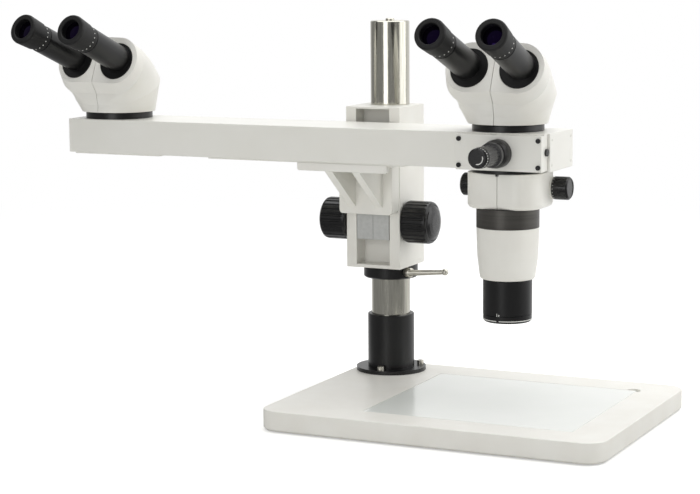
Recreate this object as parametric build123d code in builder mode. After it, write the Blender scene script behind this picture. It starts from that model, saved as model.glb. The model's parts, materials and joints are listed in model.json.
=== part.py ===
from build123d import *
import math
import os

os.makedirs("parts", exist_ok=True)

# A stereo zoom microscope with a second viewing head on a long arm.  Millimetres, +Z up, the
# eyepieces look towards -Y.  The origin is under the middle of the whole outline, on the bench.

# Vertical axes of the column, the zoom optics and the second head
column_x = 14.5
column_y = 119.5
main_reach = 201
second_reach = 344
main_x = column_x + main_reach
second_x = column_x - second_reach

# Clearances between pieces
running_gap = 0.06
seat_gap = 0.1
free_gap = 0.3

# Base plate, stage glass and feet
base_length = 430
base_depth = 333
base_left = column_x - 47
base_back = column_y + 47
foot_stand = 1.5
base_thickness = 24.8
base_corner = 25
glass_length = 262
glass_depth = 238
glass_thickness = 6
glass_reach = 203
glass_offset = 121.4
glass_x = column_x + glass_reach
glass_y = column_y - glass_offset
finger_notch_r = 9
foot_r = 14
foot_thickness = 5
foot_inset = 34

# Column, its socket and its three screws
column_r = 25
column_wall = 4
column_top = 478.3
socket_r = 30
socket_height = 74.7
flange_r = 45
flange_thickness = 5
socket_screw_circle = 38.5
socket_screw_turn = 33.8
socket_screw_r = 2.5
socket_head_r = 4.25
cap_thickness = 4
cap_knob_r = 5.5
cap_knob_height = 3

# Safety collar and its clamp lever
collar_r = 35
collar_bottom = 149
collar_height = 17.4
lever_angle = -30
lever_stud_r = 3
lever_hub_r = 6.2
lever_hub_length = 9.5
lever_arm_length = 46
lever_arm_r = 4
lever_tip_r = 3
lever_lobe_r = 4.3
lever_z = 158.3

# Focusing carriage round the column
housing_half_width = 37.3
housing_front = 54
housing_back = 22.5
housing_boss_r = 31.5
housing_bottom = 166.6
housing_top = 371.9
bottom_plate_thickness = 4.4
top_plate_thickness = 2.7
channel_half_width = 23.1
channel_depth = 24.5
bush_wall = 1.5
bush_length = 60
housing_edge = 1.2

# Rack and pinion
shaft_r = 3
shaft_back = 33.5
shaft_z = 226
tooth_module = 0.7
pinion_teeth = 12
pinion_half_length = 4
rack_half_width = 5
pocket_gap = 0.7
backlash = 0.12

# Slide, its guide rails and its travel
slide_bottom = 203.5
slide_top = 330
slide_half_width = 22.2
slide_thickness = 12
slide_joint = 0.3
rail_bottom = 232
rail_length = 75
rail_nose = 3.2
rail_foot = 0.6
rail_depth = 47
rail_half_height = 3.2

# Coarse focus knobs
focus_knob_r = 26.8
focus_knob_length = 40.5
focus_knob_gap = 1
focus_groove_count = 24
focus_groove_r = 1.9

# Bracket between slide and arm
bracket_half_width = 36.3
bracket_thickness = 22
bracket_bottom = 238.5
bracket_corner = 5
shelf_half_width = 60.8
shelf_depth = 47.7
shelf_margin = 1.3
shelf_top = 308.2
shelf_thickness = 3.2
lip_height = 9.6
lip_thickness = 5.7
gusset_spacing = 37
gusset_thickness = 10
gusset_bottom = 247.6
bracket_screw_r = 3
bracket_head_r = 5

# Arm, its covers and end plates
arm_left = second_x - 49.5
arm_reach = 263.4
arm_right = column_x + arm_reach
arm_depth = 90
arm_gap = 2
arm_bottom = 309.7
arm_top = 353.1
arm_wall = 5
arm_edge = 1
left_plate_thickness = 4
right_plate_thickness = 3.3
right_plate_setback = 10.8
right_plate_drop = 2
cover_sheet = 1.5
outer_cover_start = 386
outer_cover_length = 127
inner_cover_start = 188
inner_cover_length = 272
outer_cover_left = column_x - outer_cover_start
outer_cover_right = outer_cover_left + outer_cover_length
inner_cover_left = column_x - inner_cover_start
inner_cover_right = inner_cover_left + inner_cover_length
cover_inset = 2
tunnel_half_width = 24
tunnel_half_height = 14
mirror_size = 30
mirror_thickness = 4
mirror_depth = 54.8

# Pointer cover on the front of the arm, and its controls
pointer_reach = 209.5
pointer_x = column_x + pointer_reach
pointer_z = 330
pointer_cover_length = 107.8
pointer_cover_thickness = 9.3
pointer_cover_top = 351.6
pointer_cover_bottom = 309.2
cover_screw_inset = 4
cover_screw_r = 2.9
cover_screw_head = 1.6
bell_r = 17
bell_front_r = 15
bell_length = 17
neck_length = 2
neck_r = 11
dial_collar_r = 14.6
dial_collar_length = 7
dial_r = 12.4
dial_length = 31
dial_groove_count = 20
cap_r = 12
cap_length = 7.4
pointer_shaft_r = 3
plug_r = 4.4
plug_height = 2.5
plug_back = 5.4
plug_z = 331.5

# Zoom body below the arm
mount_ring_r = 43.4
zoom_top = 303.5
zoom_bottom = 260
zoom_half_width = 47
zoom_front = 36
zoom_back = 41
zoom_back_corner = 15
zoom_front_corner = 29
zoom_fillet = 6
seam_gap = 0.6
zoom_bore_r = 30
band_r = 38
band_bottom = 236.5
lower_top_r = 37.8
lower_mid_r = 36.6
lower_mid_z = 201
lower_foot_r = 33.8
lower_foot_z = 178
lower_bottom = 174
objective_r = 29.8
objective_bottom = 121.8
objective_bore_r = 24
thread_r = 27.6
thread_length = 20
objective_lens_r = 24.6
objective_lens_thickness = 7
objective_lip = 3
objective_bevel = 2
objective_ring = 7
zoom_shaft_back = 28
zoom_shaft_z = 282.5
zoom_shaft_r = 3
zoom_knob_r = 14
zoom_knob_length = 20.2
zoom_knob_gap = 2.2
zoom_boss_r = 13.4
zoom_boss_depth = 10
zoom_groove_count = 20

# Viewing heads: each is turned about its own axis on a black ring
main_turn = -1
second_turn = -5.5
ring_r = 43.3
ring_bore_r = 34
ring_height = 8.4
head_wall = 4
head_foot_y = -1
head_foot_half_width = 48.3
head_foot_r = 44.3
head_low_y = -3
head_low_z = 29.5
head_low_tilt = 25.4
head_low_half_width = 60
head_low_r = 46.5
head_high_y = -19.7
head_high_z = 48.4
head_high_tilt = 47.7
head_high_half_width = 61.5
head_high_r = 40.5
pod_spread = 31.6
pod_y = -45
pod_z = 67
eye_elevation = 22.5
eye_divergence = 2.2
pod_rim_half_width = 62
pod_rim_r = 31
pod_rim_drop = -1
pod_band = 13.4
pod_band_half_width = 65.5
pod_band_r = 35
pod_band_drop = 4.9
face_wall = 3
skirt_depth = 6
skirt_wall = 4
disc_r = 24
disc_thickness = 6
disc_proud = 1
tube_offset = 2.5
tube_r = 17.2
tube_wall = 1.4
tube_length = 72
barrel_depth = 26
dioptre_r = 17
dioptre_length = 11
eyecup_waist_r = 18.2
eyecup_r = 19.5
eyecup_length = 26
eyecup_bore_r = 12.8
lens_recess = 8
lens_thickness = 4
lens_dome = 1.5

base_bottom = foot_stand
base_top = base_bottom + base_thickness
head_bottom = arm_top + ring_height + free_gap
optic_y = column_y - housing_front - arm_gap - arm_depth / 2
arm_y = optic_y
arm_front = arm_y - arm_depth / 2
shelf_front = housing_front + arm_gap + arm_depth - shelf_margin
shelf_back = shelf_front - shelf_depth
pitch_r = tooth_module * pinion_teeth / 2
gear_z = shaft_z
rack_pitch_y = column_y - shaft_back - pitch_r - backlash


def level(x, y, z):
    """A horizontal plane through a point."""
    return Plane(origin=(x, y, z))


def facing_front(x, y, z):
    """A plane that looks towards -Y, with its own y upwards."""
    return Plane(origin=(x, y, z), x_dir=(1, 0, 0), z_dir=(0, -1, 0))


def facing_side(x, y, z, side=1):
    """A plane that looks towards +X (side 1) or -X (side -1), with its own y upwards."""
    return Plane(origin=(x, y, z), x_dir=(0, side, 0), z_dir=(side, 0, 0))


def profile_of(seat):
    """The plane of a turned profile: its x is the radius, its y runs along the seat's axis."""
    return Plane(origin=seat.origin, x_dir=seat.x_dir, z_dir=-seat.y_dir)


def axis_of(seat):
    """The axis that stands on a seat."""
    return Axis(seat.origin, seat.z_dir)


def turned(label, seat, outline):
    """A turned piece: the closed outline of (radius, height) points, spun about the seat's axis."""
    with BuildPart() as piece:
        with BuildSketch(profile_of(seat)):
            with BuildLine():
                Polyline(*outline, close=True)
            make_face()
        revolve(axis=axis_of(seat))
    piece.part.label = label
    return piece


def ribbed_knob(label, seat, outline, groove_circle, groove_r, grooves, start, length):
    """A turned knob with round grooves along its grip."""
    with BuildPart() as knob:
        with BuildSketch(profile_of(seat)):
            with BuildLine():
                Polyline(*outline, close=True)
            make_face()
        revolve(axis=axis_of(seat))
        with BuildSketch(seat.offset(start)):
            with PolarLocations(groove_circle, grooves):
                Circle(groove_r)
        extrude(amount=length, mode=Mode.SUBTRACT)
    knob.part.label = label
    return knob


pieces = []

# Stand
base_x = base_left + base_length / 2
base_y = base_back - base_depth / 2
foot_spots = GridLocations(base_length - 2 * foot_inset, base_depth - 2 * foot_inset, 2, 2)
with BuildPart() as base_plate:
    with BuildSketch(level(base_x, base_y, base_bottom)):
        RectangleRounded(base_length, base_depth, base_corner)
    extrude(amount=base_thickness)
    chamfer(base_plate.faces().sort_by(Axis.Z)[0].edges(), 2.5)
    fillet(base_plate.faces().sort_by(Axis.Z)[-1].edges(), 1)
    with BuildSketch(level(glass_x, glass_y, base_top)):
        Rectangle(glass_length + 2 * free_gap, glass_depth + 2 * free_gap)
        with Locations((glass_length / 2 - finger_notch_r / 2, glass_depth / 2)):
            Circle(finger_notch_r)
    extrude(amount=-glass_thickness, mode=Mode.SUBTRACT)
    with BuildSketch(level(base_x, base_y, base_bottom)):
        with foot_spots:
            Circle(foot_r + seat_gap)
    extrude(amount=foot_thickness - foot_stand, mode=Mode.SUBTRACT)
    with BuildSketch(level(column_x, column_y, base_top)):
        with PolarLocations(socket_screw_circle, 3, socket_screw_turn):
            Circle(socket_screw_r + seat_gap)
    extrude(amount=-base_thickness / 2, mode=Mode.SUBTRACT)
base_plate.part.label = "base_plate"
pieces.append(base_plate)

with BuildPart() as stage_plate:
    with BuildSketch(level(glass_x, glass_y, base_top)):
        RectangleRounded(glass_length, glass_depth, 2)
    extrude(amount=-glass_thickness)
    chamfer(stage_plate.faces().sort_by(Axis.Z)[-1].edges(), 0.5)
stage_plate.part.label = "stage_plate"
pieces.append(stage_plate)

with BuildPart() as rubber_feet:
    with BuildSketch(level(base_x, base_y, 0)):
        with foot_spots:
            Circle(foot_r)
    extrude(amount=foot_thickness)
    chamfer(rubber_feet.faces().filter_by(Plane.XY).group_by(Axis.Z)[0].edges(), 0.8)
rubber_feet.part.label = "rubber_feet"
pieces.append(rubber_feet)

socket_seat = level(column_x, column_y, base_top)
with BuildPart() as column_socket:
    with BuildSketch(socket_seat):
        Circle(flange_r)
    extrude(amount=flange_thickness)
    with BuildSketch(socket_seat):
        Circle(socket_r)
    extrude(amount=socket_height)
    chamfer(column_socket.edges().filter_by(GeomType.CIRCLE).sort_by(Axis.Z)[-1], 1)
    with BuildSketch(socket_seat):
        Circle(column_r + seat_gap)
        with PolarLocations(socket_screw_circle, 3, socket_screw_turn):
            Circle(socket_screw_r + seat_gap)
    extrude(amount=socket_height, mode=Mode.SUBTRACT)
column_socket.part.label = "column_socket"
pieces.append(column_socket)

with BuildPart() as socket_screws:
    with BuildSketch(socket_seat.offset(flange_thickness)):
        with PolarLocations(socket_screw_circle, 3, socket_screw_turn):
            Circle(socket_head_r)
    extrude(amount=2 * socket_screw_r)
    with BuildSketch(socket_seat.offset(flange_thickness)):
        with PolarLocations(socket_screw_circle, 3, socket_screw_turn):
            Circle(socket_screw_r)
    extrude(amount=-3 * flange_thickness)
    with BuildSketch(socket_seat.offset(flange_thickness + 2 * socket_screw_r)):
        with PolarLocations(socket_screw_circle, 3, socket_screw_turn):
            RegularPolygon(0.9 * socket_screw_r, 6)
    extrude(amount=-socket_screw_r, mode=Mode.SUBTRACT)
socket_screws.part.label = "socket_screws"
pieces.append(socket_screws)

with BuildPart() as column:
    with BuildSketch(socket_seat):
        Circle(column_r)
        Circle(column_r - column_wall, mode=Mode.SUBTRACT)
    extrude(amount=column_top - base_top)
    chamfer(column.edges().filter_by(GeomType.CIRCLE).group_by(Axis.Z)[-1].sort_by(SortBy.LENGTH)[-1], 1)
column.part.label = "column"
pieces.append(column)

plug_wall_r = column_r - column_wall - seat_gap
column_cap = turned("column_cap", level(column_x, column_y, column_top - cap_thickness), [
    (0, 0), (plug_wall_r, 0), (plug_wall_r, cap_thickness), (cap_knob_r, cap_thickness),
    (cap_knob_r, cap_thickness + cap_knob_height - 0.8),
    (cap_knob_r - 0.8, cap_thickness + cap_knob_height), (0, cap_thickness + cap_knob_height)])
pieces.append(column_cap)

# Safety collar
collar_seat = level(column_x, column_y, collar_bottom)
lever_direction = Vector(math.cos(math.radians(lever_angle)), math.sin(math.radians(lever_angle)), 0)
stud_end = Vector(column_x, column_y, lever_z) + lever_direction * (column_r + 2)
stud_seat = Plane(origin=stud_end, z_dir=lever_direction)
with BuildPart() as safety_collar:
    with BuildSketch(collar_seat):
        Circle(collar_r)
    extrude(amount=collar_height)
    chamfer(safety_collar.edges().filter_by(GeomType.CIRCLE).sort_by(Axis.Z)[0], 1.5)
    fillet(safety_collar.edges().filter_by(GeomType.CIRCLE).sort_by(Axis.Z)[-1], 0.8)
    with BuildSketch(collar_seat):
        Circle(column_r + running_gap)
    extrude(amount=collar_height, mode=Mode.SUBTRACT)
    with BuildSketch(stud_seat):
        Circle(lever_stud_r + running_gap)
    extrude(amount=collar_r, mode=Mode.SUBTRACT)
safety_collar.part.label = "safety_collar"
pieces.append(safety_collar)

hub_start = collar_r + free_gap - column_r - 2
hub_end = stud_end + lever_direction * (hub_start + lever_hub_length)
arm_direction = Vector(1, 0.06, 0.075).normalized()
with BuildPart() as collar_lever:
    with BuildSketch(stud_seat):
        Circle(lever_stud_r)
    extrude(amount=hub_start + 1)
    with BuildSketch(stud_seat.offset(hub_start)):
        Circle(lever_hub_r)
    extrude(amount=lever_hub_length)
    chamfer(collar_lever.edges().filter_by(GeomType.CIRCLE).sort_by(Axis(stud_end, lever_direction))[-1], 1.5)
    with BuildSketch(Plane(origin=hub_end - arm_direction * lever_hub_r, z_dir=arm_direction)):
        Circle(lever_arm_r)
    with BuildSketch(Plane(origin=hub_end + arm_direction * lever_arm_length, z_dir=arm_direction)):
        Circle(lever_tip_r)
    loft()
    with Locations(hub_end + arm_direction * lever_arm_length):
        Sphere(lever_lobe_r)
collar_lever.part.label = "collar_lever"
pieces.append(collar_lever)

# Focusing carriage
body_bottom = housing_bottom + bottom_plate_thickness
body_top = housing_top - top_plate_thickness
channel_back = housing_front - channel_depth
block_y = column_y - (housing_front - housing_back) / 2
block_depth = housing_front + housing_back


def housing_outline(z, channel=False):
    """The plan of the carriage block at a height: a block with a round boss behind the column."""
    with BuildSketch(level(column_x, column_y, z)) as plan:
        with Locations((0, block_y - column_y)):
            Rectangle(2 * housing_half_width, block_depth)
        fillet(plan.vertices(), housing_edge)
        Circle(housing_boss_r)
        Circle(column_r + (running_gap + bush_wall if channel else free_gap), mode=Mode.SUBTRACT)
        if channel:
            with Locations((0, channel_depth / 2 - housing_front)):
                Rectangle(2 * channel_half_width, channel_depth, mode=Mode.SUBTRACT)
    return plan


with BuildPart() as carriage_housing:
    add(housing_outline(body_bottom, channel=True).sketch)
    extrude(amount=body_top - body_bottom)
    with BuildSketch(facing_side(column_x - housing_half_width, column_y - shaft_back, shaft_z)):
        Circle(shaft_r + running_gap)
    extrude(amount=2 * housing_half_width, mode=Mode.SUBTRACT)
    with BuildSketch(facing_side(column_x - pinion_half_length - 2, column_y - shaft_back, shaft_z)):
        Circle(pitch_r + tooth_module + pocket_gap)
    extrude(amount=2 * (pinion_half_length + 2), mode=Mode.SUBTRACT)
carriage_housing.part.label = "carriage_housing"
pieces.append(carriage_housing)

with BuildPart() as carriage_end_plates:
    add(housing_outline(body_top).sketch)
    extrude(amount=top_plate_thickness)
    add(housing_outline(housing_bottom).sketch)
    extrude(amount=bottom_plate_thickness)
    outer_faces = carriage_end_plates.faces().sort_by(Axis.Z)
    fillet(outer_faces[0].outer_wire().edges() + outer_faces[-1].outer_wire().edges(), 0.6)
carriage_end_plates.part.label = "carriage_end_plates"
pieces.append(carriage_end_plates)

with BuildPart() as column_bushes:
    for bush_z in (body_bottom + 2, body_top - 2 - bush_length):
        with BuildSketch(level(column_x, column_y, bush_z)):
            Circle(column_r + running_gap + bush_wall)
            Circle(column_r + running_gap, mode=Mode.SUBTRACT)
        extrude(amount=bush_length)
column_bushes.part.label = "column_bushes"
pieces.append(column_bushes)

with BuildPart() as slide_rails:
    for side in (-1, 1):
        wall_x = side * channel_half_width
        shoulder_x = wall_x - side * rail_foot
        nose_x = wall_x - side * rail_nose
        with BuildSketch(level(column_x, column_y - rail_depth, rail_bottom)):
            with BuildLine():
                Polyline((wall_x, -rail_half_height), (shoulder_x, -rail_half_height), (nose_x, -0.6),
                         (nose_x, 0.6), (shoulder_x, rail_half_height), (wall_x, rail_half_height), close=True)
            make_face()
        extrude(amount=rail_length)
slide_rails.part.label = "slide_rails"
pieces.append(slide_rails)


def gear_outline(teeth, centre_turn):
    """The outline of a small spur gear: slim teeth with straight flanks."""
    points = []
    step = 360 / teeth
    for tooth in range(teeth):
        middle = centre_turn + tooth * step
        for turn, radius in ((-0.27 * step, pitch_r - 1.25 * tooth_module), (-0.10 * step, pitch_r + tooth_module),
                             (0.10 * step, pitch_r + tooth_module), (0.27 * step, pitch_r - 1.25 * tooth_module)):
            angle = math.radians(middle + turn)
            points.append((radius * math.cos(angle), radius * math.sin(angle)))
    return points


shaft_reach = housing_half_width + focus_knob_gap + 0.6 * focus_knob_length
with BuildPart() as pinion_shaft:
    with BuildSketch(facing_side(column_x - shaft_reach, column_y - shaft_back, shaft_z)):
        Circle(shaft_r)
    extrude(amount=2 * shaft_reach)
    with BuildSketch(facing_side(column_x - pinion_half_length, column_y - shaft_back, shaft_z)):
        with BuildLine():
            Polyline(*gear_outline(pinion_teeth, 180 + 180 / pinion_teeth), close=True)
        make_face()
    extrude(amount=2 * pinion_half_length)
pinion_shaft.part.label = "pinion_shaft"
pieces.append(pinion_shaft)

focus_outline = [
    (shaft_r + running_gap, 0), (focus_knob_r - 3.5, 0), (focus_knob_r - 1, 1.2), (focus_knob_r, 4),
    (focus_knob_r, focus_knob_length - 9), (focus_knob_r - 0.8, focus_knob_length - 6.4),
    (focus_knob_r - 2.8, focus_knob_length - 4.6), (focus_knob_r - 4, focus_knob_length - 4.4),
    (focus_knob_r - 4.4, focus_knob_length - 5), (focus_knob_r - 5.6, focus_knob_length - 3.4),
    (focus_knob_r - 9, focus_knob_length - 1.6), (focus_knob_r - 15, focus_knob_length - 0.4), (0, focus_knob_length),
    (0, 0.6 * focus_knob_length), (shaft_r + running_gap, 0.6 * focus_knob_length)]
for name, side in (("focus_knob_right", 1), ("focus_knob_left", -1)):
    knob_seat = facing_side(column_x + side * (housing_half_width + focus_knob_gap),
                            column_y - shaft_back, shaft_z, side)
    pieces.append(ribbed_knob(name, knob_seat, focus_outline, focus_knob_r + 0.5, focus_groove_r,
                              focus_groove_count, 3.5, focus_knob_length - 11))

# Slide, rack and bracket
slide_front = column_y - housing_front - free_gap
slide_rear = slide_front + slide_thickness
slide_height = slide_top - slide_bottom
for name, side in (("slide_plate_left", -1), ("slide_plate_right", 1)):
    groove_x = side * (channel_half_width - rail_nose - free_gap)
    with BuildPart() as slide_plate:
        with BuildSketch(level(column_x, column_y, slide_bottom)):
            with BuildLine():
                Polyline((side * slide_joint / 2, slide_front - column_y), (side * slide_half_width, slide_front - column_y),
                         (side * slide_half_width, -rail_depth - rail_half_height - 0.5 * free_gap),
                         (groove_x, -rail_depth - 0.6 - 0.5 * free_gap), (groove_x, -rail_depth + 0.6 + 0.5 * free_gap),
                         (side * slide_half_width, -rail_depth + rail_half_height + 0.5 * free_gap),
                         (side * slide_half_width, slide_rear - column_y), (side * slide_joint / 2, slide_rear - column_y),
                         close=True)
            make_face()
        extrude(amount=slide_height)
        chamfer(slide_plate.faces().sort_by(Axis.Y)[0].edges().filter_by(Axis.X), 0.4)
    slide_plate.part.label = name
    pieces.append(slide_plate)

tooth_pitch = math.pi * tooth_module
teeth_up = int((slide_top - 3 - gear_z) / tooth_pitch)
teeth_down = int((gear_z - slide_bottom - 3) / tooth_pitch)
rack_tip_y = rack_pitch_y + tooth_module
rack_root_y = rack_pitch_y - 1.25 * tooth_module
rack_points = [(slide_rear, gear_z - (teeth_down + 0.5) * tooth_pitch)]
for tooth in range(-teeth_down, teeth_up + 1):
    middle = gear_z + tooth * tooth_pitch
    rack_points += [(rack_root_y, middle - 0.32 * tooth_pitch), (rack_tip_y, middle - 0.11 * tooth_pitch),
                    (rack_tip_y, middle + 0.11 * tooth_pitch), (rack_root_y, middle + 0.32 * tooth_pitch)]
rack_points.append((slide_rear, gear_z + (teeth_up + 0.5) * tooth_pitch))
with BuildPart() as focus_rack:
    with BuildSketch(facing_side(column_x - rack_half_width, 0, 0)):
        with BuildLine():
            Polyline(*rack_points, close=True)
        make_face()
    extrude(amount=2 * rack_half_width)
focus_rack.part.label = "focus_rack"
pieces.append(focus_rack)

bracket_rear = slide_front
bracket_front = bracket_rear - bracket_thickness
shelf_bottom = shelf_top - shelf_thickness
shelf_mid_y = column_y - (shelf_front + shelf_back) / 2
screw_spots = GridLocations(2 * bracket_half_width, shelf_depth / 2, 2, 2)
with BuildPart() as arm_bracket:
    with BuildSketch(facing_front(column_x, bracket_rear, bracket_bottom)) as back_plate:
        with Locations((0, (shelf_top - bracket_bottom) / 2)):
            Rectangle(2 * bracket_half_width, shelf_top - bracket_bottom)
        fillet(back_plate.vertices().group_by(Axis.Z)[0], bracket_corner)
    extrude(amount=bracket_thickness)
    with BuildSketch(level(column_x, shelf_mid_y, shelf_bottom)):
        Rectangle(2 * shelf_half_width, shelf_front - shelf_back)
        with Locations((0, (shelf_front - shelf_back) / 2)):
            Rectangle(2 * bracket_half_width, 2 * (shelf_back - housing_front - bracket_thickness) + 1)
    extrude(amount=shelf_thickness)
    with BuildSketch(facing_front(column_x, column_y - shelf_front + lip_thickness, shelf_top - lip_height)) as lip:
        with Locations((0, lip_height / 2)):
            Rectangle(2 * shelf_half_width, lip_height)
        fillet(lip.vertices().group_by(Axis.Z)[0], 3)
    extrude(amount=lip_thickness)
    for side in (-1, 1):
        rib_x = column_x + side * gusset_spacing / 2 - gusset_thickness / 2
        with BuildSketch(facing_side(rib_x, 0, 0)):
            with BuildLine():
                Polyline((column_y - shelf_front + 1, shelf_top - lip_height), (column_y - shelf_front + 1, shelf_bottom),
                         (bracket_front, shelf_bottom), (bracket_front, gusset_bottom), close=True)
            make_face()
        extrude(amount=gusset_thickness)
    with BuildSketch(level(column_x, shelf_mid_y, shelf_bottom)):
        with screw_spots:
            Circle(bracket_screw_r + seat_gap)
    extrude(amount=shelf_thickness, mode=Mode.SUBTRACT)
arm_bracket.part.label = "arm_bracket"
pieces.append(arm_bracket)

with BuildPart() as bracket_screws:
    with BuildSketch(level(column_x, shelf_mid_y, shelf_bottom)):
        with screw_spots:
            Circle(bracket_head_r)
    extrude(amount=-2 * bracket_screw_r)
    chamfer(bracket_screws.faces().filter_by(Plane.XY).group_by(Axis.Z)[0].edges(), 0.6)
    with BuildSketch(level(column_x, shelf_mid_y, shelf_bottom)):
        with screw_spots:
            Circle(bracket_screw_r)
    extrude(amount=shelf_thickness + cover_sheet + arm_wall - 1)
    with BuildSketch(level(column_x, shelf_mid_y, shelf_bottom - 2 * bracket_screw_r)):
        with screw_spots:
            RegularPolygon(0.9 * bracket_screw_r, 6)
    extrude(amount=bracket_screw_r, mode=Mode.SUBTRACT)
bracket_screws.part.label = "bracket_screws"
pieces.append(bracket_screws)

# Arm
arm_length = arm_right - arm_left - left_plate_thickness
arm_mid_x = arm_right - arm_length / 2
arm_height = arm_top - arm_bottom
with BuildPart() as arm_body:
    with BuildSketch(level(arm_mid_x, arm_y, arm_bottom)):
        Rectangle(arm_length, arm_depth)
    extrude(amount=arm_height)
    fillet(arm_body.edges().filter_by(Axis.X), arm_edge)
    for pocket_left, pocket_right in ((second_x + zoom_bore_r + arm_wall, outer_cover_right - 2 * arm_wall),
                                      (inner_cover_left + 2 * arm_wall, inner_cover_right - 2 * arm_wall)):
        with BuildSketch(level((pocket_left + pocket_right) / 2, arm_y, arm_bottom)):
            Rectangle(pocket_right - pocket_left, arm_depth - 4 * arm_wall)
        extrude(amount=arm_height - arm_wall, mode=Mode.SUBTRACT)
    with BuildSketch(facing_side(second_x, arm_y, pointer_z)):
        Rectangle(2 * tunnel_half_width, 2 * tunnel_half_height)
    extrude(amount=main_x - second_x, mode=Mode.SUBTRACT)
    with BuildSketch(level(0, arm_y, arm_bottom)):
        with Locations((main_x, 0)):
            Circle(zoom_bore_r)
    extrude(amount=arm_height, mode=Mode.SUBTRACT)
    with BuildSketch(level(0, arm_y, arm_bottom + arm_wall)):
        with Locations((second_x, 0)):
            Circle(zoom_bore_r)
    extrude(amount=arm_height, mode=Mode.SUBTRACT)
    with BuildSketch(level(column_x, shelf_mid_y, arm_bottom)):
        with screw_spots:
            Circle(bracket_screw_r + seat_gap)
    extrude(amount=arm_height / 2, mode=Mode.SUBTRACT)
arm_body.part.label = "arm_body"
pieces.append(arm_body)

with BuildPart() as arm_covers:
    for cover_left, cover_right in ((outer_cover_left, outer_cover_right), (inner_cover_left, inner_cover_right)):
        with BuildSketch(level((cover_left + cover_right) / 2, arm_y, arm_bottom - cover_sheet)):
            RectangleRounded(cover_right - cover_left, arm_depth - 2 * cover_inset, 2)
        extrude(amount=cover_sheet)
    with BuildSketch(level(column_x, shelf_mid_y, arm_bottom)):
        with screw_spots:
            Circle(bracket_screw_r + seat_gap)
    extrude(amount=-cover_sheet, mode=Mode.SUBTRACT)
arm_covers.part.label = "arm_covers"
pieces.append(arm_covers)

with BuildPart() as arm_left_plate:
    with BuildSketch(facing_side(arm_left, arm_y, (arm_bottom + arm_top) / 2)):
        RectangleRounded(arm_depth, arm_height, arm_edge)
    extrude(amount=left_plate_thickness)
    chamfer(arm_left_plate.faces().sort_by(Axis.X)[0].edges(), 0.6)
arm_left_plate.part.label = "arm_left_plate"
pieces.append(arm_left_plate)

right_plate_height = arm_height + right_plate_drop
right_plate_depth = arm_depth - right_plate_setback
with BuildPart() as arm_right_plate:
    with BuildSketch(facing_side(arm_right, arm_y + right_plate_setback / 2, arm_top - right_plate_height / 2)):
        RectangleRounded(right_plate_depth, right_plate_height, arm_edge)
    extrude(amount=right_plate_thickness)
    chamfer(arm_right_plate.faces().sort_by(Axis.X)[-1].edges(), 0.5)
arm_right_plate.part.label = "arm_right_plate"
pieces.append(arm_right_plate)

# Mirrors that turn the light along the arm, one below each head
with BuildPart() as relay_mirrors:
    for centre_x, lean in ((main_x, -45), (second_x, 45)):
        glass_plane = Plane(origin=(centre_x, arm_y, pointer_z)).rotated((0, lean, 0))
        with BuildSketch(glass_plane.offset(-mirror_thickness / 2)):
            Rectangle(mirror_size, mirror_depth)
        extrude(amount=mirror_thickness)
relay_mirrors.part.label = "relay_mirrors"
pieces.append(relay_mirrors)

cover_front = arm_front - pointer_cover_thickness
cover_height = pointer_cover_top - pointer_cover_bottom
cover_mid_z = (pointer_cover_top + pointer_cover_bottom) / 2
screw_grid = GridLocations(pointer_cover_length - 2 * cover_screw_inset, cover_height - 2 * cover_screw_inset - 3, 2, 2)
with BuildPart() as pointer_cover:
    with BuildSketch(facing_front(pointer_x, arm_front, cover_mid_z)):
        Rectangle(pointer_cover_length, cover_height)
    extrude(amount=pointer_cover_thickness)
    fillet(pointer_cover.faces().sort_by(Axis.Y)[0].edges(), 0.6)
    with BuildSketch(facing_front(pointer_x, cover_front, cover_mid_z)):
        with screw_grid:
            Circle(cover_screw_r / 2 + seat_gap)
        with Locations((0, pointer_z - cover_mid_z)):
            Circle(pointer_shaft_r + 1)
    extrude(amount=-pointer_cover_thickness, mode=Mode.SUBTRACT)
pointer_cover.part.label = "pointer_cover"
pieces.append(pointer_cover)

with BuildPart() as cover_screws:
    with BuildSketch(facing_front(pointer_x, cover_front, cover_mid_z)):
        with screw_grid:
            Circle(cover_screw_r)
    extrude(amount=cover_screw_head)
    with BuildSketch(facing_front(pointer_x, cover_front, cover_mid_z)):
        with screw_grid:
            Circle(cover_screw_r / 2)
    extrude(amount=-pointer_cover_thickness + 1)
    with BuildSketch(facing_front(pointer_x, cover_front - cover_screw_head, cover_mid_z)):
        with screw_grid:
            RegularPolygon(1.3, 6)
    extrude(amount=-1, mode=Mode.SUBTRACT)
cover_screws.part.label = "cover_screws"
pieces.append(cover_screws)

with BuildPart() as side_plug:
    with BuildSketch(facing_side(arm_right, arm_front + plug_back, plug_z)):
        Circle(plug_r)
    extrude(amount=plug_height)
    with BuildSketch(facing_side(arm_right + plug_height, arm_front + plug_back, plug_z)):
        Rectangle(1.4, 2 * plug_r, rotation=-25)
    extrude(amount=-1.2, mode=Mode.SUBTRACT)
side_plug.part.label = "side_plug"
pieces.append(side_plug)

# Pointer controls
pointer_seat = facing_front(pointer_x, cover_front, pointer_z)
pointer_base = turned("pointer_base", pointer_seat, [
    (pointer_shaft_r + running_gap, 0), (bell_r, 0), (bell_r, 9), (bell_r - 0.5, 12.5), (bell_front_r, bell_length - 1),
    (bell_front_r - 1, bell_length), (pointer_shaft_r + running_gap, bell_length)])
pieces.append(pointer_base)

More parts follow.
